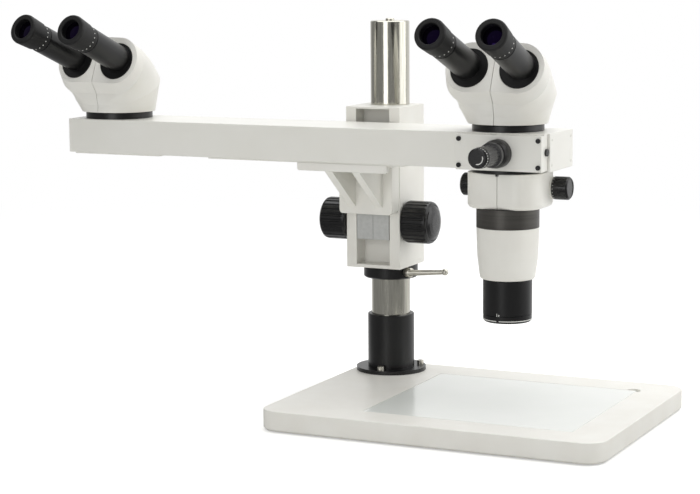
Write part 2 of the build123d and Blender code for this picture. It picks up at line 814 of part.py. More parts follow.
dial_seat = pointer_seat.offset(bell_length + free_gap)
pointer_dial = ribbed_knob("pointer_dial", dial_seat, [
    (pointer_shaft_r + running_gap, 0), (neck_r, 0), (neck_r, neck_length), (dial_collar_r, neck_length),
    (dial_collar_r, neck_length + dial_collar_length - 1), (dial_r, neck_length + dial_collar_length),
    (dial_r, neck_length + dial_collar_length + dial_length), (dial_r - 1, neck_length + dial_collar_length + dial_length + 0.5),
    (pointer_shaft_r + running_gap, neck_length + dial_collar_length + dial_length + 0.5)],
    dial_r + 0.3, 0.9, dial_groove_count, neck_length + dial_collar_length + 1, dial_length - 5)
pieces.append(pointer_dial)

dial_total = neck_length + dial_collar_length + dial_length + 0.5
cap_seat = dial_seat.offset(dial_total + free_gap)
pointer_cap = turned("pointer_cap", cap_seat, [
    (0, -dial_total - bell_length), (pointer_shaft_r, -dial_total - bell_length), (pointer_shaft_r, 0), (cap_r - 0.6, 0),
    (cap_r, 0.6), (cap_r, cap_length - 1.6), (cap_r - 1.4, cap_length - 0.2), (cap_r - 2, cap_length), (0, cap_length)])
pieces.append(pointer_cap)

# Zoom body
zoom_mount_ring = turned("zoom_mount_ring", level(main_x, optic_y, zoom_top), [
    (zoom_bore_r, 0), (mount_ring_r - 1, 0), (mount_ring_r, 1), (mount_ring_r, arm_bottom - zoom_top),
    (zoom_bore_r, arm_bottom - zoom_top)])
pieces.append(zoom_mount_ring)

zoom_height = zoom_top - zoom_bottom
zoom_depth = zoom_front + zoom_back
for name, side in (("zoom_body_left", -1), ("zoom_body_right", 1)):
    boss_seat = facing_side(main_x + side * (zoom_half_width - zoom_boss_depth), optic_y + zoom_shaft_back, zoom_shaft_z, side)
    with BuildPart() as zoom_half:
        with BuildSketch(level(main_x, optic_y + (zoom_back - zoom_front) / 2, zoom_bottom)):
            Rectangle(2 * zoom_half_width, zoom_depth)
        extrude(amount=zoom_height)
        fillet(zoom_half.edges().filter_by(Axis.Z).group_by(Axis.Y)[-1], zoom_back_corner)
        fillet(zoom_half.edges().filter_by(Axis.Z).group_by(Axis.Y)[0], zoom_front_corner)
        fillet(zoom_half.faces().sort_by(Axis.Z)[0].edges(), zoom_fillet)
        fillet(zoom_half.faces().sort_by(Axis.Z)[-1].edges(), 1.2)
        with BuildSketch(boss_seat):
            Circle(zoom_boss_r)
        extrude(amount=zoom_boss_depth + zoom_knob_gap - free_gap)
        with BuildSketch(level(main_x, optic_y, zoom_bottom)):
            Circle(zoom_bore_r)
            with Locations((side * (seam_gap / 2 - 2 * zoom_half_width), 0)):
                Rectangle(4 * zoom_half_width, 4 * zoom_back)
        extrude(amount=zoom_height, mode=Mode.SUBTRACT)
        with BuildSketch(facing_side(main_x - 2 * zoom_half_width, optic_y + zoom_shaft_back, zoom_shaft_z)):
            Circle(zoom_shaft_r + running_gap)
        extrude(amount=4 * zoom_half_width, mode=Mode.SUBTRACT)
    zoom_half.part.label = name
    pieces.append(zoom_half)

zoom_band = turned("zoom_band", level(main_x, optic_y, band_bottom), [
    (zoom_bore_r, 0), (band_r, 0), (band_r, zoom_bottom - band_bottom), (zoom_bore_r, zoom_bottom - band_bottom)])
pieces.append(zoom_band)

thread_top = lower_bottom + thread_length
zoom_lower_body = turned("zoom_lower_body", level(main_x, optic_y, 0), [
    (thread_r + seat_gap, lower_bottom), (lower_foot_r - 2, lower_bottom), (lower_foot_r - 0.6, lower_bottom + 1.2),
    (lower_foot_r, lower_foot_z), (lower_mid_r, lower_mid_z), (lower_top_r, band_bottom), (zoom_bore_r, band_bottom),
    (zoom_bore_r, thread_top), (thread_r + seat_gap, thread_top)])
pieces.append(zoom_lower_body)

ring_top = objective_bevel + objective_ring
objective = turned("objective", level(main_x, optic_y, objective_bottom), [
    (objective_bore_r, 0), (objective_r - objective_bevel, 0), (objective_r - 0.2, objective_bevel),
    (objective_r - 0.2, ring_top - 0.6), (objective_r - 0.8, ring_top - 0.3), (objective_r - 0.8, ring_top),
    (objective_r, ring_top + 0.4), (objective_r, lower_bottom - objective_bottom), (thread_r, lower_bottom - objective_bottom),
    (thread_r, thread_top - objective_bottom), (objective_lens_r, thread_top - objective_bottom),
    (objective_lens_r, objective_lip), (objective_bore_r, objective_lip)])
pieces.append(objective)

objective_lens = turned("objective_lens", level(main_x, optic_y, objective_bottom + objective_lip), [
    (0, -1.2), (0.6 * objective_bore_r, -0.7), (objective_bore_r - 0.5, 0), (objective_lens_r - seat_gap / 2, 0),
    (objective_lens_r - seat_gap / 2, objective_lens_thickness), (0, objective_lens_thickness)])
pieces.append(objective_lens)

zoom_knob_start = zoom_half_width + zoom_knob_gap
with BuildPart() as zoom_shaft:
    zoom_shaft_reach = zoom_knob_start + 0.6 * zoom_knob_length
    with BuildSketch(facing_side(main_x - zoom_shaft_reach, optic_y + zoom_shaft_back, zoom_shaft_z)):
        Circle(zoom_shaft_r)
    extrude(amount=2 * zoom_shaft_reach)
zoom_shaft.part.label = "zoom_shaft"
pieces.append(zoom_shaft)

zoom_knob_outline = [
    (zoom_shaft_r + running_gap, 0), (zoom_knob_r - 0.8, 0), (zoom_knob_r, 0.8), (zoom_knob_r, zoom_knob_length - 2.2),
    (zoom_knob_r - 1.4, zoom_knob_length - 0.6), (zoom_knob_r - 2.4, zoom_knob_length), (zoom_knob_r - 3, zoom_knob_length - 0.8),
    (0, zoom_knob_length - 0.8), (0, 0.6 * zoom_knob_length), (zoom_shaft_r + running_gap, 0.6 * zoom_knob_length)]
for name, side in (("zoom_knob_right", 1), ("zoom_knob_left", -1)):
    knob_seat = facing_side(main_x + side * zoom_knob_start, optic_y + zoom_shaft_back, zoom_shaft_z, side)
    pieces.append(ribbed_knob(name, knob_seat, zoom_knob_outline, zoom_knob_r + 0.4, 1, zoom_groove_count,
                              3.2, zoom_knob_length - 6))

# Viewing heads
def head_plane(seat, y, z, tilt):
    """A plane across a head, leaning forwards by tilt degrees from the horizontal."""
    centre = seat.from_local_coords(Vector(0, y, z))
    forward = seat.from_local_coords(Vector(0, -math.sin(math.radians(tilt)), math.cos(math.radians(tilt)))) - seat.origin
    return Plane(origin=centre, x_dir=seat.x_dir, z_dir=forward)


def slot_section(plane, half_width, radius):
    """One section of the head: two half circles joined by straight lines."""
    with BuildSketch(plane) as section:
        SlotCenterToCenter(2 * (half_width - radius), 2 * radius)
    return section


def head_form(seat, inset):
    """The smooth outer form of a head, or its inner cavity when inset is the wall."""
    drop = math.radians(eye_elevation)

    def pod_section(back):
        share = back / pod_band
        radius = pod_rim_r + share * (pod_band_r - pod_rim_r)
        half_width = pod_rim_half_width + share * (pod_band_half_width - pod_rim_half_width)
        down = pod_rim_drop + share * (pod_band_drop - pod_rim_drop)
        y = pod_y + back * math.cos(drop) - down * math.sin(drop)
        z = pod_z - back * math.sin(drop) - down * math.cos(drop)
        return slot_section(head_plane(seat, y, z, 90 - eye_elevation), half_width - inset, radius - inset)

    foot = slot_section(head_plane(seat, head_foot_y, inset, 0), head_foot_half_width - inset, head_foot_r - inset)
    low = slot_section(head_plane(seat, head_low_y, head_low_z, head_low_tilt),
                       head_low_half_width - inset, head_low_r - inset)
    high = slot_section(head_plane(seat, head_high_y, head_high_z, head_high_tilt),
                        head_high_half_width - inset, head_high_r - inset)
    band = pod_section(pod_band)
    rim = pod_section(face_wall if inset else -face_wall)
    lower = loft([foot.sketch, low.sketch], ruled=True)
    middle = loft([low.sketch, high.sketch, band.sketch])
    upper = loft([band.sketch, rim.sketch], ruled=True)
    return lower + middle + upper


def pod_plane(seat, side):
    """The seat of one eyepiece tube on a head: its axis leans up and a little outwards."""
    up = math.radians(eye_elevation)
    out = math.radians(eye_divergence)
    centre = seat.from_local_coords(Vector(side * pod_spread, pod_y, pod_z))
    local = Vector(side * math.sin(out) * math.cos(up), -math.cos(out) * math.cos(up), math.sin(up))
    forward = seat.from_local_coords(local) - seat.origin
    across = Vector(0, 0, 1).cross(forward).normalized()
    return Plane(origin=centre, x_dir=across, z_dir=forward)


tube_bore_r = tube_r - tube_wall
barrel_r = tube_bore_r - running_gap
eyecup_start = dioptre_length
eyecup_front = dioptre_length + eyecup_length
lens_front = eyecup_front - lens_recess
for head, head_x, turn in (("main", main_x, main_turn), ("second", second_x, second_turn)):
    ring = turned(head + "_head_ring", level(head_x, optic_y, arm_top), [
        (ring_bore_r, 0), (ring_r, 0), (ring_r, ring_height - 1), (ring_r - 1, ring_height), (ring_bore_r, ring_height)])
    pieces.append(ring)
    seat = level(head_x, optic_y, head_bottom).rotated((0, 0, turn))
    outer = head_form(seat, 0)
    cavity = head_form(seat, head_wall)
    for hand, side in (("left", -1), ("right", 1)):
        pod = pod_plane(seat, side)
        with BuildPart() as shell:
            add(outer)
            add(cavity, mode=Mode.SUBTRACT)
            with BuildSketch(seat):
                Circle(ring_bore_r - running_gap - skirt_wall)
            extrude(amount=2 * head_wall, both=True, mode=Mode.SUBTRACT)
            with BuildSketch(seat.offset(-skirt_depth)):
                Circle(ring_bore_r - running_gap)
                Circle(ring_bore_r - running_gap - skirt_wall, mode=Mode.SUBTRACT)
            extrude(amount=skirt_depth + head_wall)
            seam = Plane(origin=seat.from_local_coords(Vector(side * seam_gap / 2, 0, 0)), x_dir=seat.y_dir, z_dir=seat.x_dir)
            split(bisect_by=seam, keep=Keep.TOP if side > 0 else Keep.BOTTOM)
            with BuildSketch(pod):
                Rectangle(4 * pod_spread, 6 * pod_spread)
            extrude(amount=3 * head_wall, mode=Mode.SUBTRACT)
            with BuildSketch(pod):
                Circle(disc_r + free_gap)
            extrude(amount=-4 * head_wall, mode=Mode.SUBTRACT)
        shell.part.label = f"{head}_head_shell_{hand}"
        pieces.append(shell)

        tube_plane = Plane(origin=pod.from_local_coords(Vector(side * tube_offset, tube_offset, 0)),
                           x_dir=pod.x_dir, z_dir=pod.z_dir)
        with BuildPart() as eye_tube:
            with BuildSketch(pod.offset(disc_proud - disc_thickness)):
                Circle(disc_r)
            extrude(amount=disc_thickness)
            with BuildSketch(tube_plane):
                Circle(tube_r)
            extrude(amount=tube_length)
            with BuildSketch(tube_plane.offset(tube_length - barrel_depth - 2)):
                Circle(tube_bore_r)
            extrude(amount=barrel_depth + 2, mode=Mode.SUBTRACT)
            with BuildSketch(tube_plane.offset(disc_proud - disc_thickness)):
                Circle(tube_bore_r - 3)
            extrude(amount=tube_length, mode=Mode.SUBTRACT)
        eye_tube.part.label = f"{head}_eye_tube_{hand}"
        pieces.append(eye_tube)

        eye_seat = tube_plane.offset(tube_length + free_gap)
        eyepiece = turned(f"{head}_eyepiece_{hand}", eye_seat, [
            (barrel_r - 3, -barrel_depth), (barrel_r, -barrel_depth), (barrel_r, 0), (dioptre_r - 0.6, 0), (dioptre_r, 0.6),
            (dioptre_r, eyecup_start - 0.6), (dioptre_r - 0.5, eyecup_start - 0.3), (dioptre_r - 0.5, eyecup_start),
            (eyecup_waist_r - 0.4, eyecup_start), (eyecup_waist_r, eyecup_start + 0.5), (eyecup_r - 0.3, eyecup_front - 9),
            (eyecup_r, eyecup_front - 3), (eyecup_r - 0.5, eyecup_front - 0.8), (eyecup_r - 1.6, eyecup_front),
            (eyecup_bore_r + 0.8, eyecup_front), (eyecup_bore_r, eyecup_front - 0.8),
            (eyecup_bore_r, lens_front - lens_thickness), (barrel_r - 3, lens_front - lens_thickness)])
        pieces.append(eyepiece)

        lens_r = eyecup_bore_r - seat_gap
        dome_r = (lens_r ** 2 + lens_dome ** 2) / (2 * lens_dome)
        with BuildPart() as lens:
            with BuildSketch(profile_of(eye_seat.offset(lens_front - lens_thickness))):
                with BuildLine():
                    Polyline((0, lens_thickness), (0, 0), (lens_r, 0), (lens_r, lens_thickness - lens_dome))
                    RadiusArc((lens_r, lens_thickness - lens_dome), (0, lens_thickness), -dome_r)
                make_face()
            revolve(axis=axis_of(eye_seat))
        lens.part.label = f"{head}_eye_lens_{hand}"
        pieces.append(lens)

for piece in pieces:
    export_step(piece.part, f"parts/{piece.part.label}.step")
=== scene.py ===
import json
import math

import bmesh
import bpy
from mathutils import Matrix, Vector


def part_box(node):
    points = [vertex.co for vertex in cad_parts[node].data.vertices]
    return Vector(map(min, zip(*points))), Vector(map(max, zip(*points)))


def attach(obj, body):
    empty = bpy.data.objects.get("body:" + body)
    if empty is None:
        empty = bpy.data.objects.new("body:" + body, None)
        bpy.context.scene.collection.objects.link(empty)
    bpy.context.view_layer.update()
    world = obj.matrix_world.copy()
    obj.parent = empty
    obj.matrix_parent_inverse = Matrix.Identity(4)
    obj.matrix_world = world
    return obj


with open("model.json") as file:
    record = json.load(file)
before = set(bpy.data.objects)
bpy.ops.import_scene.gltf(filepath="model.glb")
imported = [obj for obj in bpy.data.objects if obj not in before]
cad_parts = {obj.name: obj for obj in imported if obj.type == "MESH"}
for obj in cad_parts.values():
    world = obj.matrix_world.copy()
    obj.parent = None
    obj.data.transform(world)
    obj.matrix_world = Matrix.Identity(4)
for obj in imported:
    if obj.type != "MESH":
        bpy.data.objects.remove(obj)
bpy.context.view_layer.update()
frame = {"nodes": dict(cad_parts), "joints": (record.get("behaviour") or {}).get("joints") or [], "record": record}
nodes = frame["nodes"]
joints = {joint["name"]: joint for joint in frame["joints"]}
mm = 0.001
print("frame loaded")

# the camera stands where the photograph was taken from
photoView = {
    "place": (1.0940, -2.2474, 0.5639),  # metres
    "yaw": 25.681,  # degrees towards the left
    "pitch": -8.246,  # degrees upwards
    "roll": -0.403,
    "lens": 104.384,  # millimetres, on a frame 36 mm wide
}
cameraData = bpy.data.cameras.new("camera")
cameraData.lens = photoView["lens"]
cameraData.sensor_width = 36
cameraData.clip_end = 60
camera = bpy.data.objects.new("camera", cameraData)
bpy.context.collection.objects.link(camera)
camera.matrix_world = (
    Matrix.Translation(photoView["place"])
    @ Matrix.Rotation(math.radians(photoView["yaw"]), 4, "Z")
    @ Matrix.Rotation(math.radians(90 + photoView["pitch"]), 4, "X")
    @ Matrix.Rotation(math.radians(photoView["roll"]), 4, "Z")
)
bpy.context.scene.camera = camera
bpy.context.scene.view_settings.view_transform = "Standard"
print("camera set")


def toLinear(hexColour):
    channels = []
    for start in (1, 3, 5):
        value = int(hexColour[start:start + 2], 16) / 255
        channels.append(value / 12.92 if value <= 0.04045 else ((value + 0.055) / 1.055) ** 2.4)
    return (*channels, 1.0)


def perMm(size):
    return 1000 / size  # texture scale that gives features this many millimetres wide


def addNode(tree, kind, inputs=None, **settings):
    node = tree.nodes.new(kind)
    for key, value in settings.items():
        setattr(node, key, value)
    for key, value in (inputs or {}).items():
        if isinstance(value, bpy.types.NodeSocket):
            tree.links.new(value, node.inputs[key])
        else:
            node.inputs[key].default_value = value
    return node


noiseRange = {"From Min": 0.3, "From Max": 0.7}  # where nearly all of a noise texture's values lie


def surfaceFinish(name, look):
    # tone patches, a fine grain in height, uneven gloss and slightly rounded edges, each from its own size
    material = bpy.data.materials.new(name)
    material.use_nodes = True
    tree = material.node_tree
    tree.nodes.clear()
    place = addNode(tree, "ShaderNodeTexCoord").outputs["Object"]
    if "stretch" in look:
        place = addNode(tree, "ShaderNodeMapping", {"Vector": place, "Scale": look["stretch"]}).outputs["Vector"]
    patches = addNode(tree, "ShaderNodeTexNoise", {
        "Vector": place, "Scale": perMm(look["patchMm"]), "Detail": 3.0}).outputs["Fac"]
    grain = addNode(tree, "ShaderNodeTexNoise", {
        "Vector": place, "Scale": perMm(look["grainMm"]), "Detail": 2.0}).outputs["Fac"]
    toneShare = addNode(tree, "ShaderNodeMapRange", {"Value": patches, **noiseRange}).outputs["Result"]
    tone = addNode(tree, "ShaderNodeMix", {
        0: toneShare, 6: toLinear(look["tones"][0]), 7: toLinear(look["tones"][1])}, data_type="RGBA").outputs[2]
    gloss = addNode(tree, "ShaderNodeMapRange", {
        "Value": grain, **noiseRange, "To Min": look["roughness"][0], "To Max": look["roughness"][1]}).outputs["Result"]
    bumpInputs = {"Height": grain, "Strength": look.get("bump", 0.3), "Distance": look["grainDepthMm"] * mm}
    if look.get("edgeMm"):
        rounded = addNode(tree, "ShaderNodeBevel", {"Radius": look["edgeMm"] * mm}, samples=4)
        bumpInputs["Normal"] = rounded.outputs["Normal"]
    relief = addNode(tree, "ShaderNodeBump", bumpInputs).outputs["Normal"]
    shaderInputs = {"Base Color": tone, "Roughness": gloss, "Normal": relief}
    shaderInputs.update(look.get("sockets", {}))
    shader = addNode(tree, "ShaderNodeBsdfPrincipled", shaderInputs)
    addNode(tree, "ShaderNodeOutputMaterial", {"Surface": shader.outputs["BSDF"]})
    return material


# sprayed enamel on cast and sheet aluminium: soft warm white, even satin gloss, the finest orange peel
creamEnamel = surfaceFinish("creamEnamelSprayed", {
    "tones": ("#E9E8E2", "#E4E2DB"), "patchMm": 45, "roughness": (0.36, 0.44), "grainMm": 1.6,
    "grainDepthMm": 0.06, "bump": 0.25, "edgeMm": 0.5, "sockets": {"IOR": 1.5}})

# the same enamel where it was rolled on flat sheet: glossier, so the arm's top mirrors the housing
glossEnamel = surfaceFinish("creamEnamelRolled", {
    "tones": ("#E7E6E0", "#E4E3DC"), "patchMm": 60, "roughness": (0.28, 0.31), "grainMm": 3,
    "grainDepthMm": 0.004, "bump": 0.1, "sockets": {"IOR": 1.5}})

# black anodised turned aluminium: near black with a soft grey sheen along its lit side
blackAnodised = surfaceFinish("blackAnodisedTurned", {
    "tones": ("#101010", "#0C0C0D"), "patchMm": 18, "roughness": (0.30, 0.36), "grainMm": 0.5,
    "grainDepthMm": 0.01, "bump": 0.2, "edgeMm": 0.3, "sockets": {"IOR": 1.5, "Specular IOR Level": 0.42}})

# black ABS from a polished mould: deep black, with a clear light line along each rib
blackMoulded = surfaceFinish("blackAbsMoulded", {
    "tones": ("#0D0D0E", "#0A0A0B"), "patchMm": 9, "roughness": (0.22, 0.28), "grainMm": 0.45,
    "grainDepthMm": 0.01, "bump": 0.15, "edgeMm": 0.35, "sockets": {"IOR": 1.5, "Specular IOR Level": 0.5}})

# grey ABS of the pointer control: satin, so that each flute shows a soft light side
greyMoulded = surfaceFinish("greyAbsMoulded", {
    "tones": ("#3E3E3E", "#343435"), "patchMm": 9, "roughness": (0.24, 0.30), "grainMm": 0.45,
    "grainDepthMm": 0.01, "bump": 0.15, "edgeMm": 0.35, "sockets": {"IOR": 1.5}})

# nitrile rubber eyecups and feet: matt charcoal with a dusty bloom
nitrileRubber = surfaceFinish("nitrileRubberMoulded", {
    "tones": ("#1A1A1A", "#131313"), "patchMm": 7, "roughness": (0.5, 0.6), "grainMm": 0.6,
    "grainDepthMm": 0.03, "bump": 0.25, "edgeMm": 0.3, "sockets": {"IOR": 1.5, "Specular IOR Level": 0.35}})

# bead-blasted, clear anodised slide plates: pale grey with a fine sparkle
blastedAluminium = surfaceFinish("aluminiumBeadBlasted", {
    "tones": ("#C3C4C2", "#B8B9B7"), "patchMm": 5, "roughness": (0.42, 0.55), "grainMm": 0.6,
    "grainDepthMm": 0.03, "bump": 0.35, "edgeMm": 0.2, "sockets": {"Metallic": 0.3}})

# hard chrome on a ground steel tube: mirror strips, broken up by long fine scratches
groundChrome = surfaceFinish("hardChromeGroundTube", {
    "tones": ("#C6C4BA", "#B0AEA3"), "patchMm": 1.2, "roughness": (0.10, 0.20), "grainMm": 0.4,
    "grainDepthMm": 0.01, "bump": 0.3, "stretch": (1, 1, 0.03), "sockets": {"Metallic": 1.0}})

# satin nickel-chrome on the lever and screws: soft, broad highlights
satinChrome = surfaceFinish("satinChromePlated", {
    "tones": ("#CFCCC2", "#C3C0B6"), "patchMm": 6, "roughness": (0.30, 0.38), "grainMm": 0.8,
    "grainDepthMm": 0.005, "bump": 0.1, "edgeMm": 0.3, "sockets": {"Metallic": 1.0}})

# turned grey band of dark anodised aluminium: fine rings round it, with a silky sheen
greyBand = surfaceFinish("greyAnodisedTurned", {
    "tones": ("#55534F", "#494744"), "patchMm": 3, "roughness": (0.34, 0.44), "grainMm": 0.7,
    "grainDepthMm": 0.03, "bump": 0.4, "edgeMm": 0.25, "stretch": (0.02, 0.02, 1), "sockets": {"Metallic": 0.6}})

# ground steel shafts and socket screws: darker grey metal with short scratches
groundSteel = surfaceFinish("steelGround", {
    "tones": ("#8E8E8C", "#7C7C7A"), "patchMm": 4, "roughness": (0.25, 0.38), "grainMm": 0.5,
    "grainDepthMm": 0.02, "bump": 0.3, "edgeMm": 0.2, "sockets": {"Metallic": 1.0}})

# turned brass rack and bushes: warm, slightly dull
turnedBrass = surfaceFinish("brassTurned", {
    "tones": ("#B08D4A", "#9A7A3E"), "patchMm": 5, "roughness": (0.28, 0.4), "grainMm": 0.5,
    "grainDepthMm": 0.02, "bump": 0.3, "sockets": {"Metallic": 1.0}})

# silvered glass mirrors inside the arm
silveredMirror = surfaceFinish("mirrorSilvered", {
    "tones": ("#E3E6E8", "#DADEE1"), "patchMm": 20, "roughness": (0.03, 0.06), "grainMm": 3,
    "grainDepthMm": 0.002, "bump": 0.1, "sockets": {"Metallic": 1.0}})

# frosted plate glass over a white backing: cool white, faintly glossy
frostedGlass = surfaceFinish("plateGlassFrosted", {
    "tones": ("#E5E7E3", "#E1E4DF"), "patchMm": 70, "roughness": (0.16, 0.22), "grainMm": 0.8,
    "grainDepthMm": 0.01, "bump": 0.2, "edgeMm": 0.3, "sockets": {"IOR": 1.52}})

# coated optical glass: nearly black, with a violet reflection from its coating
coatedLens = surfaceFinish("opticalGlassCoated", {
    "tones": ("#08050C", "#050407"), "patchMm": 8, "roughness": (0.03, 0.06), "grainMm": 4,
    "grainDepthMm": 0.002, "bump": 0.1,
    "sockets": {"IOR": 1.5, "Specular IOR Level": 0.35, "Specular Tint": toLinear("#8A5CF0")}})

# white marking paint in engraved marks
markingPaint = surfaceFinish("markingPaintWhite", {
    "tones": ("#E6E6E2", "#DADAD6"), "patchMm": 2, "roughness": (0.5, 0.6), "grainMm": 0.4,
    "grainDepthMm": 0.01, "bump": 0.2})

# painted shade: a flat black standing for the dark inside of gaps and screw sockets
recessPaintedShade = surfaceFinish("recessPaintedShadeBlack", {
    "tones": ("#0B0B0B", "#070707"), "patchMm": 2, "roughness": (0.6, 0.8), "grainMm": 0.5,
    "grainDepthMm": 0.02, "bump": 0.2})

finishOf = {
    "white_paint": creamEnamel, "white_casting": creamEnamel, "black_anodised": blackAnodised,
    "black_plastic": blackMoulded, "black_rubber": nitrileRubber,
    "satin_aluminium": blastedAluminium, "bright_chrome": satinChrome,
    "column_chrome": groundChrome, "grey_paint": greyBand, "stage_glass": frostedGlass,
    "lens_glass": coatedLens, "mirror_glass": silveredMirror, "bearing_brass": turnedBrass,
    "tool_steel": groundSteel,
}
for subpart in frame["record"]["subparts"]:
    for materialSlot in nodes[subpart["node"]].material_slots:
        materialSlot.material = finishOf[subpart["material_slot"]]
for finish, names in ((glossEnamel, ("arm_body", "arm_right_plate", "pointer_cover")),
                      (greyMoulded, ("pointer_dial",))):
    for name in names:
        nodes[name].material_slots[0].material = finish
print("finishes on", len(nodes), "nodes")


def standing(place, forward, upwards=(0, 0, 1)):
    # a seat in space: its z looks forward from the place, and its y is turned upwards
    z = Vector(forward).normalized()
    x = Vector(upwards).cross(z).normalized()
    return Matrix.Translation(Vector(place)) @ Matrix((x, z.cross(x), z)).transposed().to_4x4()


def settle(name, mesh, seat, body, finishes=()):
    # a finished piece keeps its place in its vertices, with its object at the origin
    mesh.name = name
    mesh.transform(seat)
    for finish in finishes:
        mesh.materials.append(finish)
    piece = bpy.data.objects.new(name, mesh)
    bpy.context.collection.objects.link(piece)
    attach(piece, body)
    return piece


def grown(tree, values):
    # runs a node group with its named inputs and hands back a plain mesh
    carrier = bpy.data.objects.new("carrier", bpy.data.meshes.new("carrier"))
    bpy.context.collection.objects.link(carrier)
    modifier = carrier.modifiers.new("grow", "NODES")
    modifier.node_group = tree
    sockets = {item.name: item.identifier for item in tree.interface.items_tree if item.in_out == "INPUT"}
    for label, value in values.items():
        modifier[sockets[label]] = value
    mesh = bpy.data.meshes.new_from_object(carrier.evaluated_get(bpy.context.evaluated_depsgraph_get()))
    bpy.data.objects.remove(carrier)
    return mesh


def arcBand(radii, heights, span, steps):
    # a ribbon along part of a circle, from one (radius, height) edge to the other
    shape = bmesh.new()
    rows = []
    for step in range(steps + 1):
        angle = math.radians(span[0] + (span[1] - span[0]) * step / steps)
        rows.append([shape.verts.new((radius * math.cos(angle), radius * math.sin(angle), height))
                     for radius, height in zip(radii, heights)])
    for near, far in zip(rows, rows[1:]):
        shape.faces.new((near[0], far[0], far[1], near[1]))
    mesh = bpy.data.meshes.new("band")
    shape.to_mesh(mesh)
    shape.free()
    return mesh


def socketScrew(look):
    # a screw's end with a hexagon socket: rim, walls of the socket, and its floor as the second finish
    shape = bmesh.new()
    count = 24
    loops = []
    for radius, height, hexagonal in (
            (look["radius"], -look["sunk"], False), (look["radius"], look["proud"] - look["edge"], False),
            (look["radius"] - look["edge"], look["proud"], False), (look["socket"], look["proud"], True),
            (look["socket"], look["proud"] - look["deep"], True)):
        loop = []
        for step in range(count):
            angle = 2 * math.pi * step / count
            reach = radius / math.cos(angle % (math.pi / 3) - math.pi / 6) if hexagonal else radius
            loop.append(shape.verts.new((reach * math.cos(angle), reach * math.sin(angle), height)))
        loops.append(loop)
    for below, above in zip(loops, loops[1:]):
        for step in range(count):
            following = (step + 1) % count
            shape.faces.new((below[step], below[following], above[following], above[step]))
    shape.faces.new(loops[-1]).material_index = 1
    mesh = bpy.data.meshes.new("screw")
    shape.to_mesh(mesh)
    shape.free()
    return mesh


# marks spread evenly round a circle and facing outwards, as dots or as short bars
marksTree = bpy.data.node_groups.new("ringOfMarks", "GeometryNodeTree")
marksTree.interface.new_socket("Geometry", in_out="OUTPUT", socket_type="NodeSocketGeometry")
for label, kind in (("Count", "Int"), ("Radius", "Float"), ("Along", "Float"), ("Around", "Float"),
                    ("Depth", "Float"), ("Round", "Bool"), ("Finish", "Material")):
    marksTree.interface.new_socket(label, in_out="INPUT", socket_type="NodeSocket" + kind)
given = addNode(marksTree, "NodeGroupInput").outputs
circle = addNode(marksTree, "GeometryNodeMeshCircle", {
    "Vertices": given["Count"], "Radius": given["Radius"]}).outputs["Mesh"]
spot = addNode(marksTree, "GeometryNodeInputPosition").outputs["Position"]
along = addNode(marksTree, "ShaderNodeSeparateXYZ", {"Vector": spot}).outputs
bearing = addNode(marksTree, "ShaderNodeMath", {0: along["Y"], 1: along["X"]}, operation="ARCTAN2").outputs[0]
facing = addNode(marksTree, "ShaderNodeCombineXYZ", {"Y": math.pi / 2, "Z": bearing}).outputs["Vector"]
bar = addNode(marksTree, "GeometryNodeMeshCube", {"Size": (1, 1, 1)}).outputs["Mesh"]
dot = addNode(marksTree, "GeometryNodeMeshCylinder", {"Vertices": 12, "Radius": 0.5, "Depth": 1}).outputs["Mesh"]
form = addNode(marksTree, "GeometryNodeSwitch", {"Switch": given["Round"], "False": bar, "True": dot},
               input_type="GEOMETRY").outputs["Output"]
scale = addNode(marksTree, "ShaderNodeCombineXYZ", {
    "X": given["Along"], "Y": given["Around"], "Z": given["Depth"]}).outputs["Vector"]
spread = addNode(marksTree, "GeometryNodeInstanceOnPoints", {
    "Points": circle, "Instance": form, "Rotation": facing, "Scale": scale}).outputs["Instances"]
solid = addNode(marksTree, "GeometryNodeRealizeInstances", {"Geometry": spread}).outputs["Geometry"]
painted = addNode(marksTree, "GeometryNodeSetMaterial", {
    "Geometry": solid, "Material": given["Finish"]}).outputs["Geometry"]
addNode(marksTree, "NodeGroupOutput", {"Geometry": painted})

# white dots round each dioptre ring
dioptreDots = {"count": 18, "size": 1.5 * mm, "depth": 0.3 * mm, "radius": 17 * mm, "fromSeat": 79.6 * mm}
for head in ("main", "second"):
    for hand in ("left", "right"):
        joint = joints[f"{head}_dioptre_{hand}_turn"]
        place = Vector(joint["pos_m"]) + Vector(joint["axis"]) * dioptreDots["fromSeat"]
        dots = grown(marksTree, {
            "Count": dioptreDots["count"], "Radius": dioptreDots["radius"], "Along": dioptreDots["size"],
            "Around": dioptreDots["size"], "Depth": dioptreDots["depth"], "Round": True, "Finish": markingPaint})
        settle(f"{head}_dioptre_dots_{hand}", dots, standing(place, joint["axis"]), joint["child"])

# pale scale bars round each zoom knob, and the right one's set screw hole, black with painted shade
zoomMarks = {"count": 20, "along": 1.5 * mm, "around": 0.5 * mm, "depth": 0.16 * mm, "inset": 1.8 * mm}
zoomHole = {"radius": 1.5 * mm, "proud": 0.12 * mm, "edge": 0.05 * mm, "sunk": 0.4 * mm, "socket": 1.0 * mm,
            "deep": 0.3 * mm, "turn": 195.4, "inset": 8.8 * mm}
zoomJoint = joints["zoom_knob_turn"]
zoomAxis = Vector(zoomJoint["pos_m"])
for hand, side in (("right", 1), ("left", -1)):
    low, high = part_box("zoom_knob_" + hand)
    knobRadius = (high.z - low.z) / 2
    start = low.x if side > 0 else high.x
    bars = grown(marksTree, {
        "Count": zoomMarks["count"], "Radius": knobRadius, "Along": zoomMarks["along"],
        "Around": zoomMarks["around"], "Depth": zoomMarks["depth"], "Round": False, "Finish": markingPaint})
    place = (start + side * zoomMarks["inset"], zoomAxis.y, zoomAxis.z)
    settle("zoom_marks_" + hand, bars, standing(place, (side, 0, 0)), zoomJoint["child"])
turn = math.radians(zoomHole["turn"])
outwards = Vector((0, math.cos(turn), math.sin(turn)))
low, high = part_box("zoom_knob_right")
